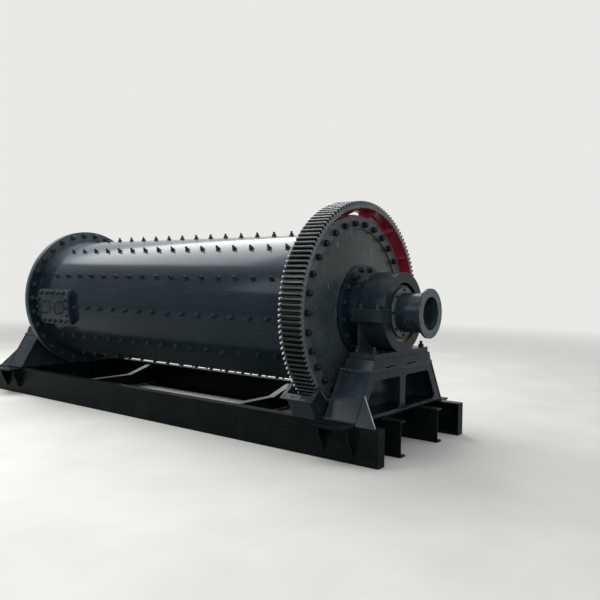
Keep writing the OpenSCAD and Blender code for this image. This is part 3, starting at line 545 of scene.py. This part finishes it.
def uprightSeat(x, y, z, turn=0.0):
    return Matrix.Translation((x, y, z)) @ Matrix.Rotation(math.radians(turn), 4, "Z")


# The same ring of seats at both ends of the drum, looking outwards
def ringsAtBothEnds(x, radius, bolts):
    seats = []
    for i in range(bolts["count"]):
        angle = (i + bolts["startPitches"]) * 360 / bolts["count"]
        seats.append(facingSeat(x, angle, radius, 1, bolts["turn"] * i))
        seats.append(facingSeat(-x, angle, radius, -1, bolts["turn"] * i))
    return seats


# The manhole's frame, and its cover: how far the cover's edge lies inside the frame's, and how far
# its face stands out from the shell
manhole = {"angle": 97.1, "heightMm": 460, "coverInMm": 12, "coverOutMm": 74}

# Liner bolts: lengthwise rows all round the drum, less those where the manhole is. Every nut
# stops at its own angle, here and below: "turn" is the step in degrees from one to the next.
linerBolts = {"rows": 12, "firstAngle": 7.1, "firstX": -1.873, "pitch": 0.2415, "perRow": 17,
              "clearMm": 40, "turn": 37, "rowTurn": 11,
              "washerMm": (31, 7), "nutMm": (38, 20), "studMm": (12, 50)}
manholeLow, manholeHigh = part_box("manhole_frame")
margin = linerBolts["clearMm"] * mm
seats = []
for row in range(linerBolts["rows"]):
    angle = linerBolts["firstAngle"] + row * 360 / linerBolts["rows"]
    alongArc = abs(angle - manhole["angle"]) * math.pi / 180 * shellRadius
    for k in range(linerBolts["perRow"]):
        x = linerBolts["firstX"] + k * linerBolts["pitch"]
        overManhole = (manholeLow.x - margin < x < manholeHigh.x + margin
                       and alongArc < manhole["heightMm"] / 2 * mm + margin)
        if not overManhole:
            turn = linerBolts["turn"] * k + linerBolts["rowTurn"] * row
            seats.append(radialSeat(x, angle, shellRadius, turn))
fasteners("linerBolts", linerBolts, seats, paintedFastener, "drum")

# Bolts that hold the end covers to the shell's flanges, a nut on either side
flangeBolts = {"count": 30, "radius": 0.865, "flangeMm": 40, "feedTurn": 23, "dischargeTurn": 31,
               "washerMm": (34, 6), "nutMm": (55, 36), "studMm": (18, 56)}
flange = flangeBolts["flangeMm"] * mm
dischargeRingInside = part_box("discharge_shell_flange")[0].x
for name, sign, inside, turn, material, slotName in (
        ("feedFlangeBolts", -1, -(endX - flange), flangeBolts["feedTurn"],
         paintedFastener, "shell_paint"),
        ("dischargeFlangeBolts", 1, dischargeRingInside, flangeBolts["dischargeTurn"],
         blackFastener, "gear_steel")):
    seats = []
    for i in range(flangeBolts["count"]):
        angle = (i + 0.5) * 360 / flangeBolts["count"]
        outside = sign * (endX + flange)
        seats.append(facingSeat(outside, angle, flangeBolts["radius"], sign, turn * i))
        seats.append(facingSeat(inside, angle, flangeBolts["radius"], -sign, turn * i))
    fasteners(name, flangeBolts, seats, material, "drum")

# Bolts in the trunnions' flanges
trunnionBolts = {"count": 16, "startPitches": 0.5, "turn": 17, "flangeMm": 40, "insetMm": 45,
                 "washerMm": (30, 5), "nutMm": (46, 24), "studMm": (15, 34)}
trunnionLow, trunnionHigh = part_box("discharge_trunnion")
seats = ringsAtBothEnds(trunnionLow.x + trunnionBolts["flangeMm"] * mm,
                        (trunnionHigh.z - trunnionLow.z) / 2 - trunnionBolts["insetMm"] * mm,
                        trunnionBolts)
fasteners("trunnionBolts", trunnionBolts, seats, blackFastener, "drum")

# Screws that hold the sleeves to the trunnions' ends
sleeveBolts = {"count": 8, "startPitches": 0, "turn": 29, "flangeMm": 15, "radiusMm": 218,
               "washerMm": (15, 3), "nutMm": (24, 13), "studMm": (7, 14)}
seats = ringsAtBothEnds(trunnionHigh.x + sleeveBolts["flangeMm"] * mm, sleeveBolts["radiusMm"] * mm,
                        sleeveBolts)
fasteners("sleeveBolts", sleeveBolts, seats, blackFastener, "drum")

# Studs through the bearings' caps and foot flanges
capBolts = {"alongMm": 92, "acrossMm": 434, "seatMm": 36,
            "washerMm": (34, 5), "nutMm": (55, 29), "studMm": (18, 48)}
footBolts = {"alongMm": (2585, 2770), "acrossMm": 462, "seatMm": 50,
             "washerMm": (30, 6), "nutMm": (46, 26), "studMm": (15, 62)}
capLow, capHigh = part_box("discharge_bearing_cap")
capMiddle = (capLow.x + capHigh.x) / 2
capSeat = capLow.z + capBolts["seatMm"] * mm
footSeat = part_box("discharge_bearing_housing")[0].z + footBolts["seatMm"] * mm
capSeats, footSeats = [], []
for end in (-1, 1):
    for side in (-1, 1):
        for step in (-1, 1):
            x = end * (capMiddle + step * capBolts["alongMm"] * mm)
            capSeats.append(uprightSeat(x, side * capBolts["acrossMm"] * mm, capSeat,
                                        20 * step + 13 * side))
        for x in footBolts["alongMm"]:
            footSeats.append(uprightSeat(end * x * mm, side * footBolts["acrossMm"] * mm, footSeat,
                                         x / 9 - 21 * side))
fasteners("bearingCapBolts", capBolts, capSeats, blackFastener, "base")
fasteners("bearingFootBolts", footBolts, footSeats, blackFastener, "base")

# Sole plates whose ends slope, and sloping pedestal plates with a gusset at the front only
soleTaper = {"topInMm": 35}
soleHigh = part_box("discharge_sole_plate")[1]
sideLow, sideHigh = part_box("discharge_pedestal_sides")


def slopeSole(place):
    if place.z > soleHigh.z - mm and abs(place.y) > soleHigh.y - mm:
        place.y -= math.copysign(soleTaper["topInMm"] * mm, place.y)
    return place


def dropRearGusset(place):
    return None if place.y > 0 and abs(place.x) > sideHigh.x + mm else place


for end in ("feed", "discharge"):
    reshaped(end + "SlopedSole", end + "_sole_plate", slopeSole, pedestalEnamel,
             "base")
    slopes = reshaped(end + "SlopePlates", end + "_pedestal_slopes", dropRearGusset, pedestalEnamel,
                      "base")
    slopes.data.materials.append(cutEdge)
    for face in slopes.data.polygons:  # the gusset's own edge, beyond the pedestal's side
        if abs(face.center.x) > sideHigh.x + 2 * mm and abs(face.normal.x) > 0.3:
            face.material_index = 1
print("sole and slope plates shaped")

# Bolts that hold the manhole's cover, and its two handles
coverBolts = {"along": (-240, -120, 0, 120, 240), "upright": (-95, 0, 95), "insetMm": 36,
              "turn": (13, 7), "washerMm": (25, 4), "nutMm": (36, 19), "studMm": (12, 34)}
handles = {"along": (-150, 150), "lengthMm": 150, "heightMm": 60, "rodMm": 9, "sunkMm": 8}
coverLow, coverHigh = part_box("manhole_cover")
manholeX = (coverLow.x + coverHigh.x) / 2
coverRadius = shellRadius + manhole["coverOutMm"] * mm


# A seat on the manhole's cover: x along the drum and y across the manhole, in millimetres
def coverSeat(x, y, turn=0.0):
    aside = math.degrees(math.asin(y * mm / coverRadius))
    return radialSeat(manholeX + x * mm, manhole["angle"] - aside, coverRadius, turn)


halfLong = (coverHigh.x - coverLow.x) / 2 / mm - coverBolts["insetMm"]
halfHigh = manhole["heightMm"] / 2 - manhole["coverInMm"] - coverBolts["insetMm"]
alongTurn, uprightTurn = coverBolts["turn"]
seats = []
for side in (-1, 1):
    seats += [coverSeat(x, side * halfHigh, alongTurn * x) for x in coverBolts["along"]]
    seats += [coverSeat(side * halfLong, y, uprightTurn * y) for y in coverBolts["upright"]]
fasteners("manholeBolts", coverBolts, seats, paintedFastener, "drum")


# The edges that run between these vertices
def rimOf(verts):
    return list({e for v in verts for e in v.link_edges if all(w in verts for w in e.verts)})


# Extrudes an open rim by a step and gives back the new rim's edges
def carryOn(bm, rim, step):
    made = bmesh.ops.extrude_edge_only(bm, edges=rim)["geom"]
    fresh = [g for g in made if isinstance(g, bmesh.types.BMVert)]
    bmesh.ops.translate(bm, vec=step, verts=fresh)
    return [g for g in made if isinstance(g, bmesh.types.BMEdge) and all(v in fresh for v in g.verts)]


# A bent rod that stands on both feet along local X: up, round, along, round and down
def handleRod(size):
    bm = bmesh.new()
    half, height, radius = size["lengthMm"] / 2 * mm, size["heightMm"] * mm, size["rodMm"] * mm
    bend, sunk = 3 * radius, size["sunkMm"] * mm
    verts = bmesh.ops.create_circle(bm, cap_ends=False, segments=12, radius=radius,
                                    matrix=Matrix.Translation((-half, 0, -sunk)))["verts"]
    rim = carryOn(bm, rimOf(verts), (0, 0, height - bend + sunk))
    for centre, step in (((-half + bend, 0, height - bend), (2 * half - 2 * bend, 0, 0)),
                         ((half - bend, 0, height - bend), (0, 0, -height + bend - sunk))):
        last = bmesh.ops.spin(bm, geom=rim, cent=centre, axis=(0, 1, 0), dvec=(0, 0, 0),
                              angle=math.pi / 2, steps=6, use_merge=False,
                              use_duplicate=False)["geom_last"]
        rim = carryOn(bm, [g for g in last if isinstance(g, bmesh.types.BMEdge)], step)
    bmesh.ops.holes_fill(bm, edges=bm.edges, sides=0)
    return bm


rods = scatter(handleRod(handles), [coverSeat(x, 0, 90) for x in handles["along"]])
finishPiece("manholeHandles", rods, paintedFastener, "drum", 40)
print("manhole dressed")

# Fillet welds: rings where the flanges meet the shell, and straight beads on the pedestals
welds = {"legMm": 11, "sunkMm": 2, "bulge": 0.55, "beadRadius": 0.75, "wavePitchMm": 12,
         "waveMm": 0.7, "ringSteps": 240, "insideTopMm": 6}


def weldRing(bm, x, radius, sign):
    leg, foot = welds["legMm"] * mm, radius - welds["sunkMm"] * mm
    bulge = leg * welds["bulge"]
    corners = [(x, foot), (x, radius + leg), (x + sign * bulge, radius + bulge),
               (x + sign * leg, foot)]
    verts = [bm.verts.new((cx, 0, axisHeight + cr)) for cx, cr in corners]
    edges = [bm.edges.new((verts[i], verts[i + 1])) for i in range(3)]
    bmesh.ops.spin(bm, geom=edges, cent=(0, 0, axisHeight), axis=(1, 0, 0), dvec=(0, 0, 0),
                   angle=2 * math.pi, steps=welds["ringSteps"], use_merge=True,
                   use_duplicate=False)


# A straight bead, its surface in small waves
def weldBar(start, end):
    bm = bmesh.new()
    start, end = Vector(start), Vector(end)
    steps = max(2, int((end - start).length / (welds["wavePitchMm"] * mm)))
    turn = (end - start).to_track_quat("Z", "Y").to_matrix().to_4x4()
    verts = bmesh.ops.create_circle(bm, cap_ends=True, segments=8,
                                    radius=welds["legMm"] * welds["beadRadius"] * mm,
                                    matrix=Matrix.Translation(start) @ turn)["verts"]
    rim = rimOf(verts)
    swell = 1 + welds["waveMm"] / welds["legMm"]
    for k in range(steps):
        rim = carryOn(bm, rim, (end - start) / steps)
        around = list({v for e in rim for v in e.verts})
        centre = start + (end - start) * (k + 1) / steps
        scale = swell if k % 2 else 1 / swell
        bmesh.ops.scale(bm, vec=(scale, scale, scale), space=Matrix.Translation(-centre), verts=around)
    bmesh.ops.contextual_create(bm, geom=rim)
    bead = bpy.data.meshes.new("bead")
    bm.to_mesh(bead)
    bm.free()
    return bead


drumWelds = bmesh.new()
weldRing(drumWelds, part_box("feed_shell_flange")[1].x, shellRadius, 1)
weldRing(drumWelds, dischargeRingInside, shellRadius, -1)
finishPiece("drumWelds", drumWelds, shellEnamel, "drum", 50)

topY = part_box("discharge_top_plate")[1].y - welds["insideTopMm"] * mm
corners = ((sideHigh.y, sideLow.z), (topY, sideHigh.z))  # y and z of a pedestal's foot and top
beads = []
for end in (-1, 1):
    for side in (-1, 1):
        for x in (sideLow.x, sideHigh.x):
            beads.append(weldBar(*[(end * x, side * y, z) for y, z in corners]))
        for y, z in corners:
            beads.append(weldBar((end * sideLow.x, side * y, z), (end * sideHigh.x, side * y, z)))
    for x in (sideLow.x, sideHigh.x):
        for y, z in corners:
            beads.append(weldBar((end * x, -y, z), (end * x, y, z)))
pedestalWelds = bmesh.new()
for bead in beads:
    pedestalWelds.from_mesh(bead)
    bpy.data.meshes.remove(bead)
finishPiece("pedestalWelds", pedestalWelds, pedestalEnamel, "base", 50)
print("welds laid")

# Camera, from the vanishing points and sizes in the photograph: angles in radians, the focal
# length in pixels of a frame 600 pixels wide
view = {"place": (5.8697, -5.6638, 1.5925), "yaw": -0.6505, "pitch": -0.0315, "roll": 0.0154,
        "focal": 662.27, "frame": 600, "sensor": 36}
yaw, pitch, roll = view["yaw"], view["pitch"], view["roll"]
forward = Vector((math.sin(yaw) * math.cos(pitch), math.cos(yaw) * math.cos(pitch), math.sin(pitch)))
right = Vector((math.cos(yaw), -math.sin(yaw), 0))
up = right.cross(forward)
rightRolled = math.cos(roll) * right + math.sin(roll) * up
upRolled = -math.sin(roll) * right + math.cos(roll) * up
camera = bpy.data.objects.new("camera", bpy.data.cameras.new("camera"))
camera.data.sensor_width = view["sensor"]
camera.data.lens = view["focal"] * view["sensor"] / view["frame"]
camera.data.clip_end = 200
camera.matrix_world = Matrix.Translation(view["place"]) @ Matrix(
    (rightRolled, upRolled, -forward)).transposed().to_4x4()
bpy.context.scene.collection.objects.link(camera)
bpy.context.scene.camera = camera

# Pale floor that fades into the backdrop's white
studio = {"floorSize": 60, "floorDropMm": 2, "fadeFrom": 6.0, "fadeTo": 18.0,
          "floor": "#d4d3ce", "floorDeep": "#c9c8c3", "floorBounce": "#6f6d68", "cloudMm": 900,
          "backdrop": "#e9e9e6", "ambient": "#dfe4e8", "ambientStrength": 0.5}
bm = bmesh.new()
bmesh.ops.create_grid(bm, x_segments=2, y_segments=2, size=studio["floorSize"])
floorMesh = bpy.data.meshes.new("studioFloor")
bm.to_mesh(floorMesh)
bm.free()
floor = bpy.data.objects.new("studioFloor", floorMesh)
floor.location.z = -studio["floorDropMm"] * mm
bpy.context.scene.collection.objects.link(floor)
# Pale concrete, steel-trowelled: an even, dull grey that shows only the mill's soft shadow. It
# throws less light back on the mill than it shows, as a darker workshop floor would.
floorPaint, tree, place = newMaterial("paleConcrete")
rays = addNode(tree, "ShaderNodeLightPath").outputs
tone = clouded(tree, place, studio["cloudMm"], studio["floor"], studio["floorDeep"], 0.3, 0.7, 5)
colour = layOver(tree, tone, studio["floorBounce"], rays["Is Diffuse Ray"])
shader = addNode(tree, "ShaderNodeBsdfPrincipled", values={"Roughness": 0.7},
                 links={"Base Color": colour})
white = addNode(tree, "ShaderNodeEmission", values={"Color": srgb(studio["backdrop"]), "Strength": 1.0})
reach = addNode(tree, "ShaderNodeVectorMath", {"operation": "LENGTH"}, links={0: place})
fade = addNode(tree, "ShaderNodeMapRange",
               values={"From Min": studio["fadeFrom"], "From Max": studio["fadeTo"]},
               links={"Value": reach.outputs["Value"]})
seen = addNode(tree, "ShaderNodeMath", {"operation": "ADD", "use_clamp": True},
               links={0: rays["Is Camera Ray"], 1: rays["Is Glossy Ray"]})
faded = addNode(tree, "ShaderNodeMath", {"operation": "MULTIPLY"},
                links={0: fade.outputs["Result"], 1: seen.outputs[0]})
mixed = addNode(tree, "ShaderNodeMixShader",
                links={0: faded.outputs[0], 1: shader.outputs["BSDF"], 2: white.outputs["Emission"]})
addNode(tree, "ShaderNodeOutputMaterial", links={"Surface": mixed.outputs["Shader"]})
floorMesh.materials.append(floorPaint)

# World: the backdrop's white to the camera and in reflections, softer on the object
world = bpy.data.worlds.new("studioWorld")
bpy.context.scene.world = world
world.use_nodes = True
tree = world.node_tree
tree.nodes.clear()
rays = addNode(tree, "ShaderNodeLightPath").outputs
seen = addNode(tree, "ShaderNodeMath", {"operation": "ADD", "use_clamp": True},
               links={0: rays["Is Camera Ray"], 1: rays["Is Transmission Ray"]})
seen = addNode(tree, "ShaderNodeMath", {"operation": "ADD", "use_clamp": True},
               links={0: seen.outputs[0], 1: rays["Is Glossy Ray"]})
backdrop = addNode(tree, "ShaderNodeBackground",
                   values={"Color": srgb(studio["backdrop"]), "Strength": 1.0})
ambient = addNode(tree, "ShaderNodeBackground",
                  values={"Color": srgb(studio["ambient"]), "Strength": studio["ambientStrength"]})
mixed = addNode(tree, "ShaderNodeMixShader",
                links={0: seen.outputs[0], 1: ambient.outputs["Background"],
                       2: backdrop.outputs["Background"]})
addNode(tree, "ShaderNodeOutputWorld", links={"Surface": mixed.outputs["Shader"]})

# Soft lamps: windows behind and above, a low one in front and a wide fill from the camera's side
lamps = {
    "windowLight": {"place": (-4.8, 2.2, 7.8), "aim": (0, -0.3, 1.9), "size": (11, 4.6), "power": 1040},
    "roofLight": {"place": (0.5, -1.0, 9.0), "aim": (0, 0, 1.0), "size": (11, 6), "power": 300},
    "frontLight": {"place": (-2.4, -7.2, 5.4), "aim": (2.4, -0.8, 0.7), "size": (4.5, 3), "power": 180},
    "fillLight": {"place": (9.0, -6.5, 4.5), "aim": (1.0, 0, 1.0), "size": (6, 5), "power": 250}}
for name, lamp in lamps.items():
    data = bpy.data.lights.new(name, "AREA")
    data.shape = "RECTANGLE"
    data.size, data.size_y = lamp["size"]
    data.energy = lamp["power"]
    lampObject = bpy.data.objects.new(name, data)
    aim = Vector(lamp["aim"]) - Vector(lamp["place"])
    turn = aim.to_track_quat("-Z", "Y").to_matrix().to_4x4()
    lampObject.matrix_world = Matrix.Translation(lamp["place"]) @ turn
    lampObject.visible_camera = False
    bpy.context.scene.collection.objects.link(lampObject)
bpy.context.scene.view_settings.view_transform = "Standard"
print("camera and lights set")
